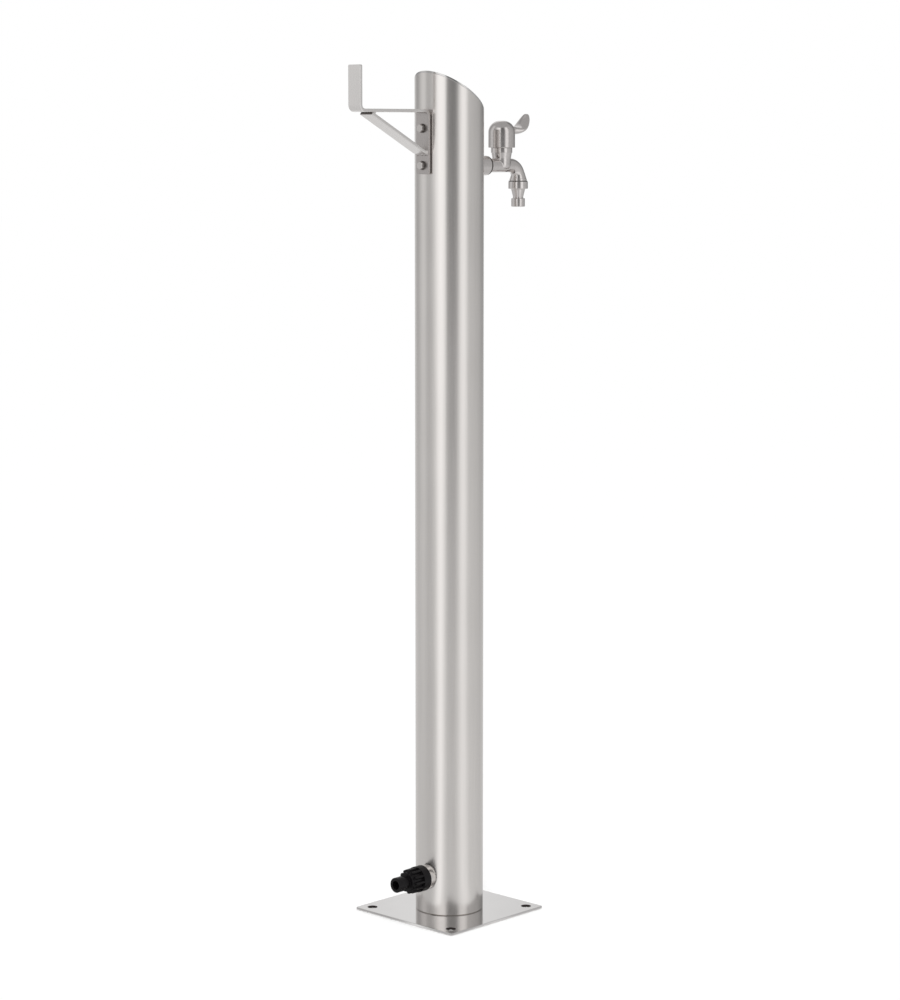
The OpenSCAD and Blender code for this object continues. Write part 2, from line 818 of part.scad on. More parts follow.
module handle_grub_screw() {
    tip_x = stem_d / 2 - stem_flat;
    color(steel) at_tap() translate([0, 0, grub_z]) rotate([0, 0, -90]) difference() {
        bar_y(tip_x, tip_x + grub_len, grub_d);
        rotate([-90, 0, 0]) hex_z(tip_x + grub_len / 2, tip_x + grub_len + cut, grub_d / 2);
    }
}

// The outlet

module outlet_washer() {
    color(rubber) at_tap() translate([0, -spout_reach, 0]) difference() {
        bar_z(nozzle_seat_z, outlet_tip_z, outlet_thread_d);
        bar_z(nozzle_seat_z - cut, outlet_tip_z + cut, nozzle_bore);
    }
}

// A quick-connect nozzle: nut, tapered shoulder, waist, then the bead that a hose coupling grips
module outlet_nozzle() {
    nut_r = nozzle_nut_d / 2;
    shoulder_r = nozzle_shoulder_d / 2;
    bead_r = nozzle_bead_d / 2;
    color(polished) at_tap() translate([0, -spout_reach, 0]) difference() {
        rotate_extrude() polygon([
            [0, nozzle_z1],
            [nut_r - edge, nozzle_z1],
            [nut_r, nozzle_z1 - edge],
            [nut_r, shoulder_z1 + edge],
            [nut_r - edge, shoulder_z1],
            [shoulder_r, shoulder_z1],
            [nozzle_waist_d / 2, waist_z1],
            [nozzle_waist_d / 2, nozzle_bead_z1],
            [bead_r - edge / 2, nozzle_bead_z1],
            [bead_r, nozzle_bead_z1 - edge / 2],
            [bead_r, nozzle_z0 + edge / 2],
            [bead_r - edge / 2, nozzle_z0],
            [0, nozzle_z0]
        ]);
        bar_z(nozzle_seat_z, nozzle_z1 + cut, outlet_thread_d + 2 * fit_gap);
        bar_z(nozzle_z0 - cut, nozzle_z1, nozzle_bore);
    }
}

base_plate();
column_tube();
top_cap();
hook_strap();
hook_brace();
hook_screws();
hook_washers();
hook_rivet_nuts();
inlet_bush();
inlet_washer();
inlet_adapter();
lower_elbow();
riser_pipe();
upper_elbow();
riser_nuts();
riser_olives();
tap_saddle();
tap_locknut();
tap_body();
ball_seats();
seat_retainer();
valve_ball();
thrust_washer();
tap_stem();
stem_orings();
gland_nut();
tap_handle();
handle_grub_screw();
outlet_washer();
outlet_nozzle();
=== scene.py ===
"""The finished look of a stainless steel garden water column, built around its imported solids.

Lengths are metres, apart from the adapter's and the tap's sizes and the names that end in _MM, which are
millimetres. +Z is up, the tap points towards -Y, and the hose hook and the inlet point towards +Y.
"""

import json
import math

import bpy
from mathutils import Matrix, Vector


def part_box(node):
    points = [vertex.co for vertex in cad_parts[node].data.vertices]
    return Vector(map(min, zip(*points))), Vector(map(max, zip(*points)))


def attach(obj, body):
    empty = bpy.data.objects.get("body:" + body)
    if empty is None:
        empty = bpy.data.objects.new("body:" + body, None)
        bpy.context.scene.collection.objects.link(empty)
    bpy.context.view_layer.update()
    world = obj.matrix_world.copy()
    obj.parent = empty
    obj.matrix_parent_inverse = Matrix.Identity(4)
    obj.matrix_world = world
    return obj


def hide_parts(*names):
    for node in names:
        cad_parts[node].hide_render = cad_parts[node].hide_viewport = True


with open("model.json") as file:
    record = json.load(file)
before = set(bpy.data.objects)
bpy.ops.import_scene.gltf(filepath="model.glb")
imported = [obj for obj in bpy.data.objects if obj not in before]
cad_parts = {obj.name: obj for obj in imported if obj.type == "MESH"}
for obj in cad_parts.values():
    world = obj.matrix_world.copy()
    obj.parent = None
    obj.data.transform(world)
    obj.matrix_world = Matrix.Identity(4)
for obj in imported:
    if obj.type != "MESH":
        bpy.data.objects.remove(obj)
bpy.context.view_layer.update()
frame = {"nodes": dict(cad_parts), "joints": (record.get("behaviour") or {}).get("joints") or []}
bpy.context.scene.view_settings.view_transform = "Standard"

MM = 0.001
UP = Vector((0, 0, 1))
OUT = Vector((1, 0, 0))
BACK = Vector((0, 1, 0))


# The photograph's camera

CAMERA_AZIMUTH = math.radians(223.75)
CAMERA_DISTANCE = 2.985
CAMERA_HEIGHT = 0.8743
CAMERA_PITCH = math.radians(7.12)
CAMERA_LENS_MM = 97.5
CAMERA_SENSOR_MM = 36
CAMERA_SHIFT_X = 0.0007
CAMERA_SHIFT_Y = -0.03


def photo_camera():
    side = Vector((math.sin(CAMERA_AZIMUTH), -math.cos(CAMERA_AZIMUTH), 0))
    bpy.ops.object.camera_add(
        location=side * CAMERA_DISTANCE + UP * CAMERA_HEIGHT,
        rotation=(math.pi / 2 - CAMERA_PITCH, 0, CAMERA_AZIMUTH),
    )
    camera = bpy.context.object
    camera.data.lens = CAMERA_LENS_MM
    camera.data.sensor_width = CAMERA_SENSOR_MM
    camera.data.shift_x = CAMERA_SHIFT_X
    camera.data.shift_y = CAMERA_SHIFT_Y
    bpy.context.scene.camera = camera


# Places that a piece shares with its material

BOLT_PLACE = 61.5 * MM
BOLT_R_MM = 5.5
HOLE_SHADE_R = (BOLT_R_MM + 0.15) * MM
STRAP_T = 3.5 * MM
BACK_PLATE_END = 43 * MM
ARM_START = 52 * MM
PLATE_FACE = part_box("hook_strap")[0].y + STRAP_T
BRACE_FOOT = 3.5 * MM
BRACE_START = Vector((0, PLATE_FACE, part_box("hook_brace")[0].z + STRAP_T / 2))
BRACE_TIP = Vector((0, 127 * MM, 893.85 * MM))
BRACE_RISE = BRACE_TIP - BRACE_START - BACK * BRACE_FOOT
BRACE_LINE = BRACE_RISE.normalized()
# How far before the brace's tip the painted shade on its upper end begins
SHADE_START = -0.2 * MM


# Materials

def colour(code):
    """An sRGB hex value as linear red, green, blue and alpha."""
    shares = [int(code[i : i + 2], 16) / 255 for i in (1, 3, 5)]
    linear = [s / 12.92 if s <= 0.04045 else ((s + 0.055) / 1.055) ** 2.4 for s in shares]
    return (*linear, 1)


def add(tree, kind, inputs=None, **settings):
    """Adds a node with its settings, and with its inputs linked or set."""
    node = tree.nodes.new(kind)
    for name, value in settings.items():
        setattr(node, name, value)
    for name, value in (inputs or {}).items():
        if isinstance(value, bpy.types.NodeSocket):
            tree.links.new(value, node.inputs[name])
        else:
            node.inputs[name].default_value = value
    return node


def new_material(name):
    """A material with nothing in its node tree, and that tree."""
    material = bpy.data.materials.new(name)
    material.use_nodes = True
    material.node_tree.nodes.clear()
    return material, material.node_tree


def grain(tree, sizes_mm, detail=2.0):
    """Noise whose spots have these sizes along X, Y and Z."""
    place = add(tree, "ShaderNodeTexCoord").outputs["Object"]
    scale = [1 / (size * MM) for size in sizes_mm]
    mapped = add(tree, "ShaderNodeMapping", {"Vector": place, "Scale": scale})
    noise = add(tree, "ShaderNodeTexNoise", {"Vector": mapped.outputs[0], "Scale": 1.0, "Detail": detail})
    return noise.outputs["Fac"]


def surface(tree, tint, wear, rough, spread, bump, **more):
    """Ends a material: its tint, a roughness that varies with the wear, and the relief of its finish."""
    limits = {"Value": wear, "To Min": rough - spread, "To Max": rough + spread}
    roughness = add(tree, "ShaderNodeMapRange", limits).outputs["Result"]
    inputs = {"Base Color": tint.outputs["Result"], "Roughness": roughness, "Normal": bump.outputs[0]}
    inputs |= {name.replace("_", " "): value for name, value in more.items()}
    shader = add(tree, "ShaderNodeBsdfPrincipled", inputs)
    add(tree, "ShaderNodeOutputMaterial", {"Surface": shader.outputs[0]})


def painted_shade_near_post(tree):
    """1 where the hook's strap lies on the post, where shade is painted on it, 0 along its arm and upright.
    """
    place = add(tree, "ShaderNodeTexCoord").outputs["Object"]
    reach = add(tree, "ShaderNodeSeparateXYZ", {"Vector": place}).outputs["Y"]
    fall = {"Value": reach, "From Min": BACK_PLATE_END, "From Max": ARM_START, "To Min": 1.0, "To Max": 0.0}
    return add(tree, "ShaderNodeMapRange", fall).outputs["Result"]


def painted_shade_at_brace_tip(tree):
    """1 on the brace's upper end under the arm, where shade is painted, 0 along its length."""
    place = add(tree, "ShaderNodeTexCoord").outputs["Object"]
    from_tip = add(tree, "ShaderNodeVectorMath", {0: place, 1: BRACE_TIP}, operation="SUBTRACT").outputs[0]
    along = add(tree, "ShaderNodeVectorMath", {0: from_tip, 1: BRACE_LINE}, operation="DOT_PRODUCT")
    past = {0: along.outputs["Value"], 1: SHADE_START}
    return add(tree, "ShaderNodeMath", past, operation="GREATER_THAN").outputs[0]


def painted_shade_in_bolt_holes(tree):
    """1 on the walls of the four bolt holes, where shade is painted, 0 elsewhere."""
    place = add(tree, "ShaderNodeTexCoord").outputs["Object"]
    corner = add(tree, "ShaderNodeVectorMath", {0: place}, operation="ABSOLUTE").outputs[0]
    flat = add(tree, "ShaderNodeVectorMath", {0: corner, 1: (1, 1, 0)}, operation="MULTIPLY").outputs[0]
    centre = (BOLT_PLACE, BOLT_PLACE, 0)
    away = add(tree, "ShaderNodeVectorMath", {0: flat, 1: centre}, operation="DISTANCE").outputs["Value"]
    return add(tree, "ShaderNodeMath", {0: away, 1: HOLE_SHADE_R}, operation="LESS_THAN").outputs[0]


SCRATCH_LENGTH_MM = 70
SMUDGE_MM = (45, 45, 90)


def brushed_steel(name, dark, light, rough, across_mm, along, shade_mask=None, shade_tint=None):
    """Stainless steel brushed one way: fine parallel scratches that streak its reflections.

    Real scratches are about 0.1 mm apart, too fine to show, so they are drawn at across_mm. A painted shade
    darkens the steel in one place, where less light falls.
    """
    material, tree = new_material(name)
    scratch = grain(tree, [SCRATCH_LENGTH_MM if axis in along else across_mm for axis in "xyz"])
    smudge = grain(tree, SMUDGE_MM)
    both = add(tree, "ShaderNodeMath", {0: scratch, 1: smudge}, operation="ADD").outputs[0]
    streak = add(tree, "ShaderNodeMath", {0: both, 1: 0.5}, operation="MULTIPLY").outputs[0]
    bump = add(tree, "ShaderNodeBump", {"Height": scratch, "Strength": 0.12, "Distance": 0.1 * MM})
    tones = {"Factor": streak, "A": colour(dark), "B": colour(light)}
    tint = add(tree, "ShaderNodeMix", tones, data_type="RGBA")
    # Painted shade: a darker tint where the mask is 1
    if shade_mask:
        tones = {"Factor": shade_mask(tree), "A": tint.outputs["Result"], "B": colour(shade_tint)}
        tint = add(tree, "ShaderNodeMix", tones, data_type="RGBA")
    surface(tree, tint, streak, rough, 0.06, bump, Metallic=1.0)
    return material


WAVE_MM = (7, 7, 7)
FILM_MM = (2.2, 2.2, 2.2)


def polished_casting(name, dark, light, rough):
    """Cast steel, ground and polished: bright, with the slight waviness that polishing leaves."""
    material, tree = new_material(name)
    wave = grain(tree, WAVE_MM)
    film = grain(tree, FILM_MM)
    bump = add(tree, "ShaderNodeBump", {"Height": wave, "Strength": 0.1, "Distance": 0.3 * MM})
    tones = {"Factor": film, "A": colour(dark), "B": colour(light)}
    tint = add(tree, "ShaderNodeMix", tones, data_type="RGBA")
    surface(tree, tint, film, rough, 0.05, bump, Metallic=1.0)
    return material


def moulded(name, dark, light, rough, grit_mm, shine=0.5):
    """A plain moulded or pressed material with a fine matt grit.

    Real grit is about 0.1 mm, too fine to show, so it is drawn at grit_mm.
    """
    material, tree = new_material(name)
    grit = grain(tree, (grit_mm,) * 3, detail=3.0)
    cloud = grain(tree, (grit_mm * 12,) * 3)
    bump = add(tree, "ShaderNodeBump", {"Height": grit, "Strength": 0.35, "Distance": 0.05 * MM})
    tones = {"Factor": cloud, "A": colour(dark), "B": colour(light)}
    tint = add(tree, "ShaderNodeMix", tones, data_type="RGBA")
    surface(tree, tint, cloud, rough, 0.06, bump, Specular_IOR_Level=shine)
    return material


FEED_MARK_MM = (0.6, 0.6, 0.6)
TARNISH_MM = (9, 9, 9)


def turned_metal(name, dark, light, rough):
    """Metal left as the lathe made it: fine feed marks and a little tarnish.

    Real feed marks are about 0.2 mm apart, too fine to show, so they are drawn at FEED_MARK_MM.
    """
    material, tree = new_material(name)
    marks = grain(tree, FEED_MARK_MM)
    tarnish = grain(tree, TARNISH_MM)
    bump = add(tree, "ShaderNodeBump", {"Height": marks, "Strength": 0.1, "Distance": 0.1 * MM})
    tones = {"Factor": tarnish, "A": colour(dark), "B": colour(light)}
    tint = add(tree, "ShaderNodeMix", tones, data_type="RGBA")
    surface(tree, tint, marks, rough, 0.06, bump, Metallic=1.0)
    return material


POST_STEEL = brushed_steel("brushed_stainless_post", "#dedad7", "#efebe8", 0.22, 1.1, "z")
# Painted shade darkens the walls of the bolt holes, where little light reaches
PLATE_STEEL = brushed_steel(
    "ground_stainless_plate", "#cccac9", "#dddbda", 0.11, 0.9, "yz", painted_shade_in_bolt_holes, "#3b3634"
)
# Painted shade darkens the strap where it lies on the post, below the arm
STRAP_STEEL = brushed_steel(
    "brushed_stainless_strap", "#e8e5e3", "#f6f3f1", 0.27, 1.4, "yz", painted_shade_near_post, "#c0bbb9"
)
# Painted shade darkens the brace's upper end, in the shadow under the arm
BRACE_STEEL = brushed_steel(
    "brushed_stainless_brace", "#e4e1df", "#f4f1ef", 0.27, 1.4, "yz", painted_shade_at_brace_tip, "#6a6462"
)
TAP_STEEL = polished_casting("polished_cast_steel", "#d3cecc", "#e6e2e0", 0.14)
HANDLE_STEEL = polished_casting("polished_cast_handle", "#cdc8c6", "#e0dcda", 0.16)
SCREW_STEEL = turned_metal("bright_steel_screws", "#c9c5c2", "#dedad8", 0.12)
# The washers' dark steel is painted shade, a dark ring round the bright screw heads
SHADED_WASHER_STEEL = turned_metal("painted_shade_washers", "#625e5c", "#7f7b78", 0.3)
BUSH_STEEL = turned_metal("turned_stainless", "#d6d2cf", "#e9e6e4", 0.22)
BLACK_PLASTIC = moulded("moulded_black_nylon", "#0a080a", "#121012", 0.36, 0.35, shine=0.2)
BRASS = turned_metal("turned_brass", "#b8944e", "#d0b06c", 0.27)
RUBBER = moulded("black_sealing_rubber", "#2e2b2a", "#3b3735", 0.7, 0.3, shine=0.3)
PIPE_PLASTIC = moulded("white_pipe_plastic", "#dcdcd6", "#e8e8e2", 0.45, 0.5)
PTFE = moulded("white_sealing_plastic", "#e9e9e4", "#f3f3ef", 0.4, 0.3)


# Modelling by hand

# The angle of a sharp edge, and the distances at which points are doubled, faces are slivers and places
# are the same
SHARP = math.radians(32)
DOUBLED = 0.001 * MM
SLIVER = 0.01 * MM
NEAR = 0.1 * MM
# How far a shape runs into the one that it is cut from or united with
OVERLAP_MM = 1


def fresh(primitive, name, **settings):
    """Adds a primitive by itself, with its place in its mesh."""
    bpy.ops.object.select_all(action="DESELECT")
    primitive(**settings)
    bpy.ops.object.transform_apply(location=True, rotation=True, scale=True)
    piece = bpy.context.object
    piece.name = name
    return piece


def edit(kind="VERT"):
    bpy.ops.object.mode_set(mode="EDIT")
    bpy.ops.mesh.select_mode(type=kind)


def done():
    bpy.ops.object.mode_set(mode="OBJECT")


def select_all():
    bpy.ops.mesh.select_all(action="SELECT")


def extrude(step):
    bpy.ops.mesh.extrude_region_move(TRANSFORM_OT_translate={"value": step})


def heal():
    """Merges doubled points and turns all faces outwards."""
    select_all()
    bpy.ops.mesh.remove_doubles(threshold=DOUBLED)
    bpy.ops.mesh.normals_make_consistent(inside=False)


def pick(kind, test):
    """Selects the edges or faces whose points all pass the test."""
    bpy.ops.mesh.select_mode(type=kind)
    bpy.ops.mesh.select_all(action="DESELECT")
    done()
    mesh = bpy.context.object.data
    parts = mesh.edges if kind == "EDGE" else mesh.polygons
    for part in parts:
        part.select = all(test(mesh.vertices[i].co) for i in part.vertices)
    edit(kind)


def activate(piece):
    bpy.ops.object.select_all(action="DESELECT")
    piece.select_set(True)
    bpy.context.view_layer.objects.active = piece


def modify(piece, kind, **settings):
    """Adds a modifier and applies it."""
    activate(piece)
    modifier = piece.modifiers.new(kind.lower(), kind)
    for name, value in settings.items():
        setattr(modifier, name, value)
    bpy.ops.object.modifier_apply(modifier=modifier.name)


def soften(piece, width_mm, segments=3):
    """Rounds every sharp edge and shades the piece smooth."""
    modify(
        piece,
        "BEVEL",
        width=width_mm * MM,
        segments=segments,
        limit_method="ANGLE",
        angle_limit=SHARP,
        use_clamp_overlap=True,
    )
    shade(piece)


def shade(piece):
    """Smooth shading over the rounded edges, with the large faces left flat."""
    activate(piece)
    bpy.ops.object.shade_smooth_by_angle(angle=SHARP)
    modify(piece, "WEIGHTED_NORMAL", mode="FACE_AREA", weight=100, keep_sharp=True)


def combine(piece, tool, operation):
    """A boolean with another piece, which is used up."""
    modify(piece, "BOOLEAN", object=tool, operation=operation, solver="EXACT")
    bpy.data.objects.remove(tool)
    activate(piece)
    edit()
    select_all()
    bpy.ops.mesh.dissolve_degenerate(threshold=SLIVER)
    heal()
    done()


def join(pieces):
    activate(pieces[0])
    for piece in pieces:
        piece.select_set(True)
    bpy.ops.object.join()
    return pieces[0]


def melt(piece, voxel_mm, passes):
    """Makes one skin of overlapping shells and smooths it, as a casting is."""
    modify(piece, "REMESH", mode="VOXEL", voxel_size=voxel_mm * MM)
    modify(piece, "SMOOTH", factor=0.5, iterations=passes)
    activate(piece)
    bpy.ops.object.shade_smooth()


def turned(name, centre, along, profile, steps=96):
    """A lathe piece: its profile of (radius, distance along the axis) in millimetres is spun round."""
    points = [centre + (OUT * radius + along * distance) * MM for radius, distance in profile]
    piece = fresh(bpy.ops.mesh.primitive_plane_add, name, size=MM, location=points[0])
    edit()
    bpy.ops.mesh.merge(type="CENTER")
    for here, there in zip(points, points[1:]):
        extrude(there - here)
    select_all()
    bpy.ops.mesh.spin(steps=steps, angle=math.tau, center=centre, axis=along)
    heal()
    done()
    return piece


def ring(name, centre, along, hole_r, radius, start, end, steps=96):
    """A lathe piece with a square section round a hole."""
    profile = [(hole_r, start), (radius, start), (radius, end), (hole_r, end), (hole_r, start)]
    return turned(name, centre, along, profile, steps)


def rod(name, centre, along, radius_mm, length_mm, vertices=64):
    """A plain round bar along Y or Z, used as a cutter or as the start of a piece."""
    turn = (math.pi / 2, 0, 0) if along == BACK else (0, 0, 0)
    return fresh(
        bpy.ops.mesh.primitive_cylinder_add,
        name,
        vertices=vertices,
        radius=radius_mm * MM,
        depth=length_mm * MM,
        location=centre,
        rotation=turn,
    )


def bisect(point, normal, fill, **side):
    select_all()
    bpy.ops.mesh.bisect(plane_co=point, plane_no=normal, use_fill=fill, **side)


def dress(piece, material, slot, body, *nodes):
    """Gives a finished piece its material and its body, and hides the nodes that it stands for; its slot is
    not used.
    """
    piece.data.name = piece.name
    piece.data.materials.clear()
    piece.data.materials.append(material)
    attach(piece, body)
    if nodes:
        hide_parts(*nodes)


# The post

SLANT = math.radians(33)
CAP_T = 2 * MM
POST_WALL = 2 * MM
POST_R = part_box("column_tube")[1].x
POST_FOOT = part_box("column_tube")[0].z
POST_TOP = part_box("top_cap")[1].z
POST_SIDES = 256
FOOT_CHAMFER = 0.9 * MM
POST_EDGE_MM = 0.35
CAP_EDGE_MM = 0.5
SLANT_POINT = Vector((0, POST_R, POST_TOP))
SLANT_NORMAL = Vector((0, -math.sin(SLANT), math.cos(SLANT)))
TAP = Vector(frame["joints"][0]["pos_m"])
INLET = Vector((0, 0, 45 * MM))
SCREW_HEIGHTS = (878 * MM, 838 * MM)
PIPE_HOLE_R_MM = 10.7
RIVET_NUT_HOLE_R_MM = 3.55
CUTTER_MM = 30


def post_tube():
    height = POST_TOP - POST_FOOT
    piece = fresh(
        bpy.ops.mesh.primitive_cylinder_add,
        "post_tube",
        vertices=POST_SIDES,
        radius=POST_R,
        depth=height,
        end_fill_type="NOTHING",
        location=UP * (POST_FOOT + height / 2),
    )
    edit()
    bisect(SLANT_POINT - SLANT_NORMAL * CAP_T, SLANT_NORMAL, False, clear_outer=True)
    done()
    modify(piece, "SOLIDIFY", thickness=POST_WALL, offset=-1)
    edit()
    pick("EDGE", lambda p: p.z < POST_FOOT + NEAR and p.xy.length > POST_R - POST_WALL / 2)
    bpy.ops.mesh.bevel(offset=FOOT_CHAMFER, segments=1)
    done()
    holes = [
        rod("hole", INLET + BACK * POST_R, BACK, PIPE_HOLE_R_MM, CUTTER_MM),
        rod("hole", Vector((0, -POST_R, TAP.z)), BACK, PIPE_HOLE_R_MM, CUTTER_MM),
    ]
    for level in SCREW_HEIGHTS:
        holes.append(rod("hole", Vector((0, POST_R, level)), BACK, RIVET_NUT_HOLE_R_MM, CUTTER_MM))
    combine(piece, join(holes), "DIFFERENCE")
    soften(piece, POST_EDGE_MM, segments=2)
    dress(piece, POST_STEEL, "brushed_steel", "column", "column_tube")


def slant_cap():
    piece = fresh(
        bpy.ops.mesh.primitive_cylinder_add,
        "slant_cap",
        vertices=POST_SIDES,
        radius=POST_R,
        depth=POST_TOP,
        location=UP * POST_TOP,
    )
    edit()
    bisect(SLANT_POINT, SLANT_NORMAL, True, clear_outer=True)
    bisect(SLANT_POINT - SLANT_NORMAL * CAP_T, SLANT_NORMAL, True, clear_inner=True)
    heal()
    done()
    soften(piece, CAP_EDGE_MM)
    dress(piece, PLATE_STEEL, "brushed_steel", "column", "top_cap")


PLATE_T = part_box("base_plate")[1].z
PLATE_W = 2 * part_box("base_plate")[1].x
PLATE_CORNER = 2.5 * MM
PLATE_EDGE_MM = 0.4


def foot_plate():
    piece = fresh(bpy.ops.mesh.primitive_plane_add, "foot_plate", size=PLATE_W)
    edit()
    bpy.ops.mesh.bevel(affect="VERTICES", offset=PLATE_CORNER, segments=8)
    select_all()
    extrude(UP * PLATE_T)
    heal()
    done()
    holes = [
        rod("hole", Vector((x * BOLT_PLACE, y * BOLT_PLACE, 0)), UP, BOLT_R_MM, CUTTER_MM)
        for x in (-1, 1)
        for y in (-1, 1)
    ]
    combine(piece, join(holes), "DIFFERENCE")
    soften(piece, PLATE_EDGE_MM)
    dress(piece, PLATE_STEEL, "brushed_steel", "column", "base_plate")


# The hose hook

STRAP_LOW, STRAP_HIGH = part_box("hook_strap")
STRAP_W = STRAP_HIGH.x - STRAP_LOW.x
STRAP_EDGE_MM = 0.7
BEND_R = 4 * MM
BEND_STEPS = 8
OUTER_BEND = BEND_R + STRAP_T
ARM_TOP = 898.5 * MM
ARM_UNDER = ARM_TOP - STRAP_T
CORNER_R = 1.6 * MM
SCREW_HOLE_R_MM = 2.75


def strap_end(name, centre, turn):
    """The strap's cross-section as one face, ready to be extruded."""
    piece = fresh(bpy.ops.mesh.primitive_plane_add, name, size=1, rotation=turn)
    edit()
    bpy.ops.transform.resize(value=(STRAP_W, STRAP_T, STRAP_T))
    bpy.ops.transform.translate(value=centre)
    return piece


def bend(angle, centre):
    bpy.ops.mesh.spin(steps=BEND_STEPS, angle=angle, center=centre, axis=OUT)


def bent_strap():
    start = Vector((0, STRAP_LOW.y + STRAP_T / 2, STRAP_LOW.z))
    piece = strap_end("hook_bent_strap", start, (0, 0, 0))
    extrude(UP * (ARM_TOP - OUTER_BEND - STRAP_LOW.z))
    bend(math.pi / 2, (0, STRAP_LOW.y + OUTER_BEND, ARM_TOP - OUTER_BEND))
    extrude(BACK * (STRAP_HIGH.y - STRAP_LOW.y - 2 * OUTER_BEND))
    bend(-math.pi / 2, (0, STRAP_HIGH.y - OUTER_BEND, ARM_UNDER + OUTER_BEND))
    extrude(UP * (STRAP_HIGH.z - ARM_UNDER - OUTER_BEND))
    heal()
    for level in (STRAP_LOW.z, STRAP_HIGH.z):
        for side in (STRAP_LOW.x, STRAP_HIGH.x):
            pick("EDGE", lambda p: abs(p.z - level) < NEAR and abs(p.x - side) < NEAR)
            bpy.ops.mesh.bevel(offset=CORNER_R, segments=4)
    done()
    holes = [
        rod("hole", Vector((0, STRAP_LOW.y, level)), BACK, SCREW_HOLE_R_MM, CUTTER_MM)
        for level in SCREW_HEIGHTS
    ]
    combine(piece, join(holes), "DIFFERENCE")
    soften(piece, STRAP_EDGE_MM)
    dress(piece, STRAP_STEEL, "brushed_steel", "column", "hook_strap")


def diagonal_brace():
    slope = math.atan2(BRACE_RISE.z, BRACE_RISE.y)
    piece = strap_end("hook_diagonal_brace", BRACE_START, (-math.pi / 2, 0, 0))
    bend_r = STRAP_T
    set_back = bend_r * math.tan(slope / 2)
    extrude(BACK * (BRACE_FOOT - set_back))
    bend(-slope, BRACE_START + BACK * (BRACE_FOOT - set_back) + UP * bend_r)
    extrude(BRACE_LINE * (BRACE_RISE.length - set_back))
    bisect(Vector((0, 0, ARM_UNDER)), UP, True, clear_outer=True)
    heal()
    done()
    soften(piece, STRAP_EDGE_MM)
    dress(piece, BRACE_STEEL, "brushed_steel", "column", "hook_brace")


WELD_R_MM = 1.9
WELD_STEP_MM = 2.4
# The drops differ in size by a ripple that turns by these radians from one to the next
WELD_RIPPLE_MM = 0.3
WELD_RIPPLE_TURN = 2.4
WELD_VOXEL_MM = 0.35
WELD_PASSES = 2
FOOT_WELD_MM = STRAP_W / MM - 1
TIP_WELD_MM = FOOT_WELD_MM - 4
TIP_WELD = Vector((0, BRACE_TIP.y - 6 * MM, ARM_UNDER - 0.6 * MM))


def weld_seam(centre, length_mm):
    """A row of overlapping drops of weld along X."""
    drops = round(length_mm / WELD_STEP_MM)
    seam = []
    for i in range(drops):
        place = centre + OUT * ((i + 0.5) / drops - 0.5) * length_mm * MM
        drop = fresh(
            bpy.ops.mesh.primitive_uv_sphere_add,
            "hook_weld_seams",
            segments=16,
            ring_count=10,
            radius=(WELD_R_MM + WELD_RIPPLE_MM * math.sin(WELD_RIPPLE_TURN * i)) * MM,
            location=place,
        )
        seam.append(drop)
    return seam


def weld_seams():
    """Seams above and below the brace's foot, and one where its tip meets the arm."""
    seams = weld_seam(BRACE_START + UP * STRAP_T / 2, FOOT_WELD_MM)
    seams += weld_seam(BRACE_START - UP * STRAP_T / 2, FOOT_WELD_MM)
    seams += weld_seam(TIP_WELD, TIP_WELD_MM)
    piece = join(seams)
    melt(piece, WELD_VOXEL_MM, WELD_PASSES)
    dress(piece, STRAP_STEEL, "brushed_steel", "column")


HEAD_FLATS_MM = 8
HEAD_H_MM = 3.5
HEAD_CHAMFER_MM = 0.7
HEAD_FACE_R_MM = HEAD_FLATS_MM / 2 - 0.2
HEAD_EDGE_MM = 0.12
BLANK_MARGIN_MM = 0.3
SHANK_R_MM = 2.5
SHANK_IN_HEAD_MM = 2
SCREW_LENGTH_MM = 16
WASHER_R_MM = 5
WASHER_T_MM = 1
WASHER_EDGE_MM = 0.2


def hex_screw(place):
    """A hex head with the round chamfer of a turned blank, and its shank."""
    corner = HEAD_FLATS_MM / 2 / math.cos(math.pi / 6)
    bar = HEAD_H_MM + OVERLAP_MM
    head = rod("hook_hex_screws", place + BACK * bar / 2 * MM, BACK, corner, bar, vertices=6)
    side = corner + BLANK_MARGIN_MM
    blank = turned(
        "blank",
        place,
        BACK,
        [
            (0, -OVERLAP_MM),
            (side, -OVERLAP_MM),
            (side, HEAD_H_MM - HEAD_CHAMFER_MM),
            (HEAD_FACE_R_MM, HEAD_H_MM),
            (0, HEAD_H_MM),
        ],
        steps=48,
    )
    combine(head, blank, "INTERSECT")
    soften(head, HEAD_EDGE_MM, segments=2)
    middle = place - BACK * (SCREW_LENGTH_MM - SHANK_IN_HEAD_MM) / 2 * MM
    shank = rod("shank", middle, BACK, SHANK_R_MM, SCREW_LENGTH_MM + SHANK_IN_HEAD_MM)
    combine(head, shank, "UNION")
    return head


def flat_washer(place):
    return ring("hook_flat_washers", place, BACK, SCREW_HOLE_R_MM, WASHER_R_MM, 0, WASHER_T_MM, steps=64)


def hook_fasteners():
    places = [Vector((0, PLATE_FACE, height)) for height in SCREW_HEIGHTS]
    screws = join([hex_screw(place + BACK * WASHER_T_MM * MM) for place in places])
    shade(screws)
    dress(screws, SCREW_STEEL, "bright_steel", "column", "hook_screws")
    washers = join([flat_washer(place) for place in places])
    soften(washers, WASHER_EDGE_MM, segments=2)
    dress(washers, SHADED_WASHER_STEEL, "bright_steel", "column", "hook_washers")


# The hose adapter at the inlet: radii, and distances behind the post's axis, in millimetres

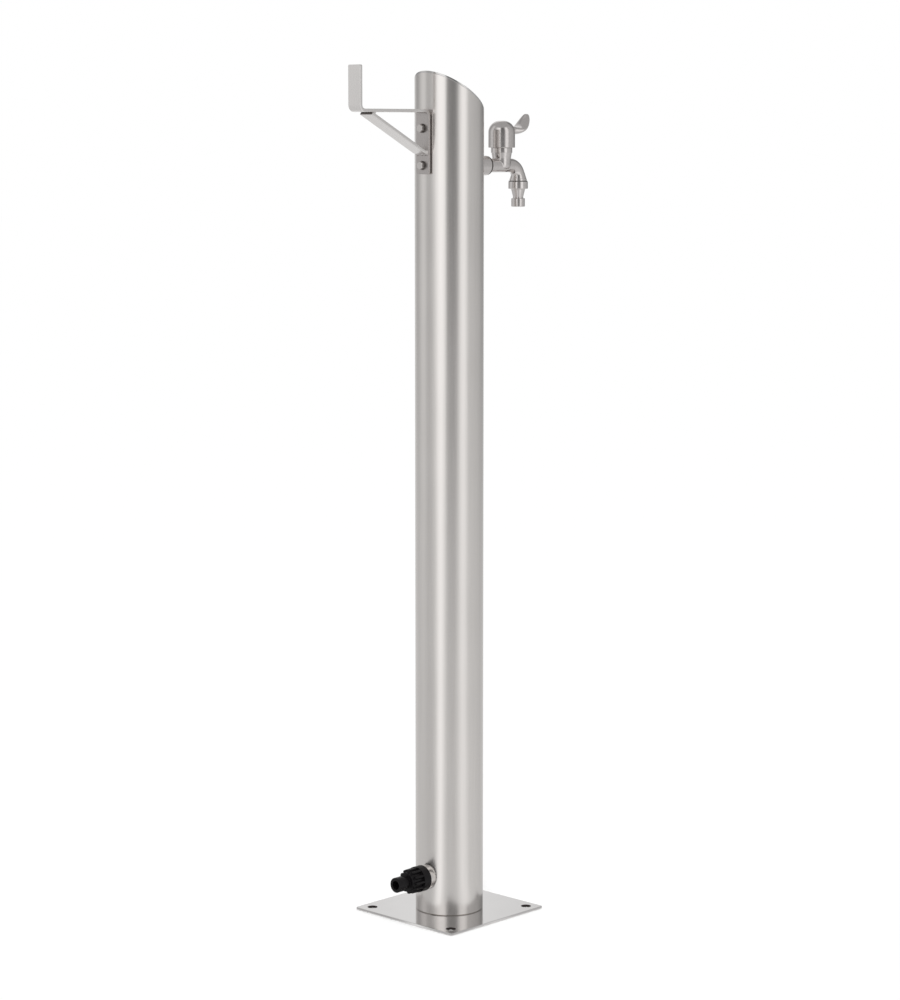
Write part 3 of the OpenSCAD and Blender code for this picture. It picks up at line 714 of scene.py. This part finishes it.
BAND_R = 14.5
BAND_START = 43.5
BAND_END = 53.7
GRIP_END = 66.6
GRIP_R = 13.75
RIB_H = 2.4
RIB_W = 3.4
RIB_END = GRIP_END - 0.15
RIB_SINK = 0.5
RIB_TAPER = 0.8
RIBS = 12
GRIP_ROOT_R = BAND_R - RIB_H - 0.8
RING_R = 10.75
RING_END = 69.6
WAIST_R = 7
WAIST_END = 77
BEAD_R = 8.4
BEAD_CHAMFER = 0.8
BEAD_END = 86
BORE_R = 5
SOCKET_R = 10.5
SOCKET_END = 55.2
RIB_ROOT_R = SOCKET_R + 0.3
ADAPTER_EDGE_MM = 0.7


def hose_adapter():
    core = turned(
        "hose_adapter",
        INLET,
        BACK,
        [
            (SOCKET_R, BAND_START),
            (BAND_R, BAND_START),
            (BAND_R, BAND_END),
            (GRIP_ROOT_R, BAND_END),
            (GRIP_R - RIB_H, GRIP_END),
            (RING_R, GRIP_END),
            (RING_R, RING_END),
            (WAIST_R, RING_END),
            (WAIST_R, WAIST_END - BEAD_CHAMFER),
            (BEAD_R, WAIST_END),
            (BEAD_R, BEAD_END),
            (BORE_R, BEAD_END),
            (BORE_R, SOCKET_END),
            (SOCKET_R, SOCKET_END),
            (SOCKET_R, BAND_START),
        ],
    )
    soften(core, ADAPTER_EDGE_MM)
    combine(core, grip_ribs(), "UNION")
    shade(core)
    dress(core, BLACK_PLASTIC, "black_plastic", "column", "inlet_adapter")


def grip_ribs():
    """One tapered rib with rounded edges, repeated round the grip."""
    start = BAND_END - OVERLAP_MM
    middle = Vector((0, (start + RIB_END) / 2, (BAND_R + RIB_ROOT_R) / 2))
    rib = fresh(bpy.ops.mesh.primitive_cube_add, "rib", size=1)
    edit()
    bpy.ops.transform.resize(value=Vector((RIB_W, RIB_END - start, BAND_R - RIB_ROOT_R)) * MM)
    bpy.ops.transform.translate(value=INLET + middle * MM)
    top = INLET.z + middle.z * MM
    pick("FACE", lambda p: p.z > top)
    bpy.ops.transform.translate(value=-UP * RIB_SINK * MM)
    bpy.ops.transform.resize(value=(RIB_TAPER, 1, 1))
    pick("EDGE", lambda p: p.z > top and p.y > middle.y * MM)
    bpy.ops.transform.translate(value=-UP * (BAND_R - RIB_SINK - GRIP_R) * MM)
    pick("EDGE", lambda p: p.z > top - RIB_SINK * MM)
    bpy.ops.mesh.bevel(offset=ADAPTER_EDGE_MM * MM, segments=3)
    select_all()
    last = math.tau * (RIBS - 1) / RIBS
    bpy.ops.mesh.spin(steps=RIBS - 1, angle=last, dupli=True, center=INLET, axis=BACK)
    heal()
    done()
    return rib


# The tap: radii, and distances from where the neck's axis crosses the stem's, in millimetres

NECK_R = 7.75
NECK_IN_COLLAR = 2
NECK_SHOULDER_R = 9.9
NECK_SHOULDER_L = 4.4
COLLAR_R = 11
COLLAR_START = 27
COLLAR_END = 45
INNER_THREAD_R = 10.45
INNER_THREAD_END = 74
SPOUT_REACH = 27.5
SPOUT_BEND = 14.5
SPOUT_DROP = 17.5
SPOUT_END_R = 9.75
SPOUT_LIP_TOP = 2.5 - SPOUT_DROP
FLARE_R = SPOUT_END_R - 0.4
FLARE_IN_LIP = 1.5
FLARE_TOP_R = 7.2
FLARE_TOP = -8
OUTER_THREAD_R = 8.3
OUTER_THREAD_L = 7
OUTLET = TAP - BACK * SPOUT_REACH * MM
OUTLET_BORE_R = 4
JOINT_GAP = 0.6
SEAL_W = 2.2
SEAL_R = 10.6
SEAL_EDGE_MM = 0.2
COLLAR_SEAL_HOLE_R = NECK_SHOULDER_R - 0.3
NOZZLE_SEAL_HOLE_R = 8.4
CASTING_EDGE_MM = 0.5
CASTING_VOXEL_MM = 0.4
CASTING_PASSES = 8
RIM_R = 12
RIM_START = 14
RIM_FLOOR = 15
RIM_HOLE_R = 6.5
RIM_TOP = 19
LIP_H = 0.42
LIP_INNER_R = 10.6
LIP_ROOT_R = 10.2
BONNET_TOP_R = RIM_R - 0.5
BONNET_OUTLINE = (
    (0, -3.9),
    (6, -3.8),
    (8.5, -3.1),
    (9.7, -1.6),
    (10.1, 0.6),
    (10.2, 4),
    (10.4, 8),
    (11, 11.5),
    (BONNET_TOP_R, RIM_START),
    (BONNET_TOP_R, RIM_START + 2),
    (0, RIM_START + 2),
)


def neck_and_spout():
    """A round bar from the collar, bent down into the spout."""
    start = TAP + BACK * (COLLAR_START + NECK_IN_COLLAR) * MM
    piece = fresh(
        bpy.ops.mesh.primitive_circle_add,
        "tap_casting",
        vertices=64,
        radius=NECK_R * MM,
        fill_type="NGON",
        location=start,
        rotation=(math.pi / 2, 0, 0),
    )
    edit()
    select_all()
    straight = (COLLAR_START + NECK_IN_COLLAR + SPOUT_REACH - SPOUT_BEND) * MM
    extrude(-BACK * straight)
    corner = start - BACK * straight
    bpy.ops.mesh.spin(steps=24, angle=-math.pi / 2, center=corner - UP * SPOUT_BEND * MM, axis=OUT)
    extrude(-UP * (SPOUT_DROP - SPOUT_BEND) * MM)
    heal()
    done()
    return piece


def neck_shoulder():
    """The neck widens in front of the collar's seal and runs on into the collar."""
    start = COLLAR_START - SEAL_W
    end = COLLAR_START + OVERLAP_MM
    profile = [
        (0, start - NECK_SHOULDER_L),
        (NECK_R - OVERLAP_MM, start - NECK_SHOULDER_L),
        (NECK_SHOULDER_R, start),
        (NECK_SHOULDER_R, end),
        (0, end),
    ]
    return turned("shoulder", TAP, BACK, profile)


def collar_and_thread():
    profile = [
        (0, COLLAR_START),
        (COLLAR_R, COLLAR_START),
        (COLLAR_R, COLLAR_END),
        (INNER_THREAD_R, COLLAR_END),
        (INNER_THREAD_R, INNER_THREAD_END),
        (0, INNER_THREAD_END),
    ]
    return turned("collar", TAP, BACK, profile)


def bonnet_rim():
    """The bonnet's upper ring, with a thin lip and a hole for the stem."""
    profile = [
        (0, RIM_START),
        (RIM_R, RIM_START),
        (RIM_R, RIM_TOP + LIP_H),
        (LIP_INNER_R, RIM_TOP + LIP_H),
        (LIP_ROOT_R, RIM_TOP),
        (RIM_HOLE_R, RIM_TOP),
        (RIM_HOLE_R, RIM_FLOOR),
        (0, RIM_FLOOR),
    ]
    return turned("rim", TAP, UP, profile)


def spout_flare():
    end = SPOUT_LIP_TOP - FLARE_IN_LIP
    profile = [(0, end), (FLARE_R, end), (FLARE_R, SPOUT_LIP_TOP), (FLARE_TOP_R, FLARE_TOP), (0, FLARE_TOP)]
    return turned("flare", OUTLET, UP, profile)


def spout_lip():
    end = -SPOUT_DROP - JOINT_GAP / 2
    profile = [(0, end), (SPOUT_END_R, end), (SPOUT_END_R, SPOUT_LIP_TOP), (0, SPOUT_LIP_TOP)]
    return turned("lip", OUTLET, UP, profile)


def outlet_thread():
    low = -SPOUT_DROP - OUTER_THREAD_L
    return ring("thread", OUTLET, UP, OUTLET_BORE_R, OUTER_THREAD_R, low, OVERLAP_MM - SPOUT_DROP)


def tap_casting():
    """The cast neck, bonnet and spout as one skin, with its machined ends."""
    bonnet = turned("bonnet", TAP, UP, BONNET_OUTLINE)
    flare = spout_flare()
    casting = join([neck_and_spout(), bonnet, flare])
    melt(casting, CASTING_VOXEL_MM, CASTING_PASSES)
    for part in (neck_shoulder(), spout_lip(), collar_and_thread(), bonnet_rim(), outlet_thread()):
        soften(part, CASTING_EDGE_MM)
        combine(casting, part, "UNION")
    shade(casting)
    dress(casting, TAP_STEEL, "polished_steel", "column", "tap_body")


def joint_seals():
    """Black rings in the joints of the collar and of the nozzle."""
    start = COLLAR_START - SEAL_W
    end = COLLAR_START + OVERLAP_MM
    collar = ring("joint_seals", TAP, BACK, COLLAR_SEAL_HOLE_R, SEAL_R, start, end)
    low = -SPOUT_DROP - JOINT_GAP
    nozzle = ring("joint_seals", OUTLET, UP, NOZZLE_SEAL_HOLE_R, SEAL_R, low, -SPOUT_DROP)
    piece = join([collar, nozzle])
    soften(piece, SEAL_EDGE_MM)
    dress(piece, RUBBER, "rubber", "column")


HANDLE_R = 15
HANDLE_LOW = 19.5
HANDLE_TOP = 49.5
DOME_R = 13
DOME_STEPS = 12
HOLLOW_R = 12.5
HOLLOW_TOP = 31
HANDLE_PASSES = 6
# The lever's arm: distance from the handle's axis, height above the neck's axis, slope in degrees,
# half its width and half its thickness
LEVER_STATIONS = (
    (8, 39.8, 0, 4.8, 4.8),
    (15.5, 39.3, 0, 5.6, 4.7),
    (20, 38.4, 3, 7.8, 4.3),
    (24.4, 38.4, 12, 10.2, 3.9),
    (28.4, 39.8, 26, 11.2, 3.5),
    (31.8, 42.3, 38, 10.9, 3.1),
    (34.5, 45.6, 49, 10, 2.8),
    (37, 49.4, 58, 8.5, 2.4),
    (39, 52.9, 66, 6.6, 2),
    (40.2, 55.6, 73, 4.6, 1.6),
    (40.8, 57.3, 78, 2.6, 1.1),
)


def domed_cap():
    """The handle's cap, hollow below and domed above."""
    arc = []
    for i in range(DOME_STEPS + 1):
        angle = math.pi / 2 * i / DOME_STEPS
        radius = HANDLE_R - DOME_R + DOME_R * math.cos(angle)
        arc.append((radius, HANDLE_TOP - DOME_R + DOME_R * math.sin(angle)))
    profile = [(0, HOLLOW_TOP), (HOLLOW_R, HOLLOW_TOP), (HOLLOW_R, HANDLE_LOW), (HANDLE_R, HANDLE_LOW)]
    return turned("lever_handle", TAP, UP, profile + arc + [(0, HANDLE_TOP)])


def lever_arm():
    """A cast arm that leaves the cap level and curls up into a broad thumb rest."""
    piece = fresh(
        bpy.ops.mesh.primitive_circle_add,
        "lever_arm",
        vertices=32,
        radius=MM,
        fill_type="NGON",
        rotation=(math.pi / 2, 0, 0),
    )
    edit()
    select_all()
    before = (0, 0, 0, 1, 1)
    for station in LEVER_STATIONS:
        reach, height, slope, half_w, half_t = station
        place = TAP + Vector((0, -reach, height)) * MM
        if before[0]:
            extrude(Vector((0, before[0] - reach, height - before[1])) * MM)
        else:
            bpy.ops.transform.translate(value=place)
        bpy.ops.transform.rotate(
            value=math.radians(slope - before[2]), orient_axis="X", center_override=place
        )
        thicker = half_t / before[4]
        bpy.ops.transform.resize(value=(half_w / before[3], thicker, thicker), center_override=place)
        before = station
    heal()
    done()
    modify(piece, "SUBSURF", levels=2, render_levels=2)
    return piece


def lever_handle():
    piece = join([domed_cap(), lever_arm()])
    melt(piece, CASTING_VOXEL_MM, HANDLE_PASSES)
    dress(piece, HANDLE_STEEL, "polished_steel", "lever", "tap_handle")


NUT_R = 11.1
NUT_TOP = -SPOUT_DROP - JOINT_GAP
NUT_END = -26.5
NUT_SOCKET_R = 8.35
NUT_SOCKET_END = -26
SHOULDER_R = 8
SHOULDER_END = -35
NOZZLE_WAIST_R = 5.9
NOZZLE_WAIST_END = -37
NOZZLE_BEAD_R = 7.75
NOZZLE_END = -46.5
NOZZLE_EDGE_MM = 0.7


def hose_nozzle():
    piece = turned(
        "hose_nozzle",
        OUTLET,
        UP,
        [
            (NUT_SOCKET_R, NUT_TOP),
            (NUT_R, NUT_TOP),
            (NUT_R, NUT_END),
            (SHOULDER_R, NUT_END),
            (NOZZLE_WAIST_R, SHOULDER_END),
            (NOZZLE_WAIST_R, NOZZLE_WAIST_END),
            (NOZZLE_BEAD_R, NOZZLE_WAIST_END),
            (NOZZLE_BEAD_R, NOZZLE_END),
            (OUTLET_BORE_R, NOZZLE_END),
            (OUTLET_BORE_R, NUT_SOCKET_END),
            (NUT_SOCKET_R, NUT_SOCKET_END),
            (NUT_SOCKET_R, NUT_TOP),
        ],
    )
    soften(piece, NOZZLE_EDGE_MM)
    dress(piece, TAP_STEEL, "polished_steel", "column", "outlet_nozzle")


# Nodes whose own shape stays

KEPT_NODES = {
    BUSH_STEEL: ("inlet_bush", "hook_rivet_nuts", "tap_stem", "handle_grub_screw"),
    TAP_STEEL: ("valve_ball",),
    BRASS: (
        "lower_elbow",
        "upper_elbow",
        "riser_nuts",
        "riser_olives",
        "tap_locknut",
        "seat_retainer",
        "gland_nut",
    ),
    RUBBER: ("inlet_washer", "tap_saddle", "stem_orings", "outlet_washer"),
    PIPE_PLASTIC: ("riser_pipe",),
    PTFE: ("ball_seats", "thrust_washer"),
}


def finish_kept_nodes():
    for material, names in KEPT_NODES.items():
        for name in names:
            node = frame["nodes"][name]
            if not node.material_slots:
                node.data.materials.append(material)
            node.material_slots[0].material = material


# The studio: a pale floor, a round tent of grey and white cloth for the metal to mirror, and soft light

TENT_R = 2.4
TENT_H = 3.5
TENT_HOLE_R = 0.05
# The foot's strips fade into the top's over this height, and a share of the distance from the tent's axis
# counts as height
TENT_FADE_H = 1.25
FLOOR_FADE = 0.117
# Brightness of the cloth round the tent, by its angle in degrees from the camera, positive to the right
TENT_TOP = (
    (-180, 0.94), (-164, 0.72), (-152, 0.66), (-136, 0.36), (-120, 0.44), (-100, 0.74), (-88, 0.72),
    (-76, 0.46), (-62, 0.52), (-50, 0.78), (-40, 1.06), (-30, 1.18), (-12.5, 1.14), (-9.5, 0.36),
    (-5, 0.24), (2, 0.2), (19, 0.18), (26.5, 0.28), (34, 0.78), (40.5, 1.06), (53, 1.08), (59, 0.9),
    (66, 0.54), (82, 0.54), (100, 0.48), (112, 0.46), (124, 0.38), (136, 0.26), (150, 0.2), (164, 0.5),
    (180, 0.94),
)
TENT_FOOT = (
    (-180, 0.98), (-164, 0.74), (-150, 0.68), (-125, 0.62), (-95, 0.6), (-75, 0.56), (-55, 0.56),
    (-45, 0.68), (-36, 1.0), (-27, 1.08), (-19, 0.82), (-11, 0.64), (16, 0.6), (30, 0.77), (42, 0.92),
    (54, 0.86), (68, 0.68), (100, 0.64), (125, 0.58), (150, 0.66), (164, 0.74), (180, 0.98),
)
TENT_ROOF = 0.46


def strips(tree, angle, levels):
    """The cloth's brightness round the tent."""
    ramp = add(tree, "ShaderNodeValToRGB", {"Fac": angle})
    stops = ramp.color_ramp.elements
    while len(stops) < len(levels):
        stops.new(0.5)
    for stop, (degrees, level) in zip(stops, levels):
        stop.position = 0.5 + degrees / 360
        stop.color = (level, level, level, 1)
    return ramp.outputs["Color"]


def light_tent():
    """A wall and a floor ring of cloth that only reflections see, with the camera at its angle 0."""
    tent = fresh(
        bpy.ops.mesh.primitive_cylinder_add,
        "light_tent",
        vertices=128,
        radius=TENT_R,
        depth=TENT_H,
        end_fill_type="NOTHING",
        location=UP * TENT_H / 2,
    )
    edit()
    pick("EDGE", lambda p: p.z < NEAR)
    bpy.ops.mesh.extrude_edges_move(TRANSFORM_OT_translate={"value": UP * MM})
    share = TENT_HOLE_R / TENT_R
    bpy.ops.transform.resize(value=(share, share, 1), center_override=(0, 0, 0))
    done()
    tent.rotation_euler.z = CAMERA_AZIMUTH - math.pi / 2
    material, tree = new_material("tent_cloth")
    place = add(tree, "ShaderNodeTexCoord").outputs["Object"]
    angle = add(tree, "ShaderNodeTexGradient", {"Vector": place}, gradient_type="RADIAL").outputs["Fac"]
    height = add(tree, "ShaderNodeSeparateXYZ", {"Vector": place}).outputs["Z"]
    flat = add(tree, "ShaderNodeVectorMath", {0: place, 1: (1, 1, 0)}, operation="MULTIPLY").outputs[0]
    away = add(tree, "ShaderNodeVectorMath", {0: flat}, operation="LENGTH").outputs["Value"]
    climb = {0: away, 1: FLOOR_FADE, 2: height}
    climb = add(tree, "ShaderNodeMath", climb, operation="MULTIPLY_ADD").outputs[0]
    rise = add(tree, "ShaderNodeMapRange", {"Value": climb, "From Max": TENT_FADE_H}).outputs["Result"]
    tones = {"Factor": rise, "A": strips(tree, angle, TENT_FOOT), "B": strips(tree, angle, TENT_TOP)}
    cloth = add(tree, "ShaderNodeMix", tones, data_type="RGBA")
    glow = add(tree, "ShaderNodeEmission", {"Color": cloth.outputs["Result"]})
    add(tree, "ShaderNodeOutputMaterial", {"Surface": glow.outputs[0]})
    tent.data.materials.append(material)
    only_mirrored(tent)


def tent_roof():
    """A grey cloth over the tent, so that what faces up is not all white."""
    roof = fresh(
        bpy.ops.mesh.primitive_circle_add, "tent_roof", radius=TENT_R, fill_type="NGON", location=UP * TENT_H
    )
    material, tree = new_material("roof_cloth")
    glow = add(tree, "ShaderNodeEmission", {"Color": (TENT_ROOF, TENT_ROOF, TENT_ROOF, 1)})
    add(tree, "ShaderNodeOutputMaterial", {"Surface": glow.outputs[0]})
    roof.data.materials.append(material)
    only_mirrored(roof)


def only_mirrored(cloth):
    cloth.visible_camera = False
    cloth.visible_diffuse = False
    cloth.visible_shadow = False


FLOOR_SIZE = 40
FLOOR_GLOW = 0.9
SHADOW_R = 0.22


def pale_floor():
    """A white floor that shows as the background does, and keeps the object's shadow."""
    floor = fresh(bpy.ops.mesh.primitive_plane_add, "studio_floor", size=FLOOR_SIZE)
    material, tree = new_material("pale_floor")
    rays = add(tree, "ShaderNodeLightPath").outputs
    seen = {0: rays["Is Camera Ray"], 1: rays["Is Glossy Ray"]}
    seen = add(tree, "ShaderNodeMath", seen, operation="MAXIMUM").outputs[0]
    place = add(tree, "ShaderNodeTexCoord").outputs["Object"]
    away = add(tree, "ShaderNodeVectorMath", {0: place}, operation="LENGTH").outputs["Value"]
    rim = {"Value": away, "From Min": SHADOW_R / 2, "From Max": SHADOW_R, "To Max": FLOOR_GLOW}
    glow = add(tree, "ShaderNodeMapRange", rim).outputs["Result"]
    share = add(tree, "ShaderNodeMath", {0: seen, 1: glow}, operation="MULTIPLY").outputs[0]
    matt = add(tree, "ShaderNodeBsdfDiffuse", {"Color": colour("#ffffff")}).outputs[0]
    white = add(tree, "ShaderNodeEmission", {"Color": colour("#ffffff")}).outputs[0]
    mix = add(tree, "ShaderNodeMixShader", {0: share, 1: matt, 2: white})
    add(tree, "ShaderNodeOutputMaterial", {"Surface": mix.outputs[0]})
    floor.data.materials.append(material)


KEY_PLACE = (-1.6, 1.9, 2.6)
KEY_AIM = Vector((0, 0, 0.4))
KEY_SIZE = 1.4
KEY_POWER = 30


def studio_light():
    """White light from all round, and one large soft lamp above the camera."""
    world = bpy.data.worlds.new("white_studio")
    bpy.context.scene.world = world
    world.use_nodes = True
    tree = world.node_tree
    tree.nodes.clear()
    white = add(tree, "ShaderNodeBackground", {"Color": colour("#ffffff")})
    add(tree, "ShaderNodeOutputWorld", {"Surface": white.outputs[0]})
    bpy.ops.object.light_add(type="AREA", location=KEY_PLACE)
    key = bpy.context.object
    key.data.shape = "DISK"
    key.data.size = KEY_SIZE
    key.data.energy = KEY_POWER
    key.rotation_euler = (KEY_AIM - key.location).to_track_quat("-Z", "Y").to_euler()
    key.visible_glossy = False


photo_camera()
post_tube()
slant_cap()
foot_plate()
bent_strap()
diagonal_brace()
weld_seams()
hook_fasteners()
hose_adapter()
tap_casting()
joint_seals()
lever_handle()
hose_nozzle()
finish_kept_nodes()
light_tent()
tent_roof()
pale_floor()
studio_light()
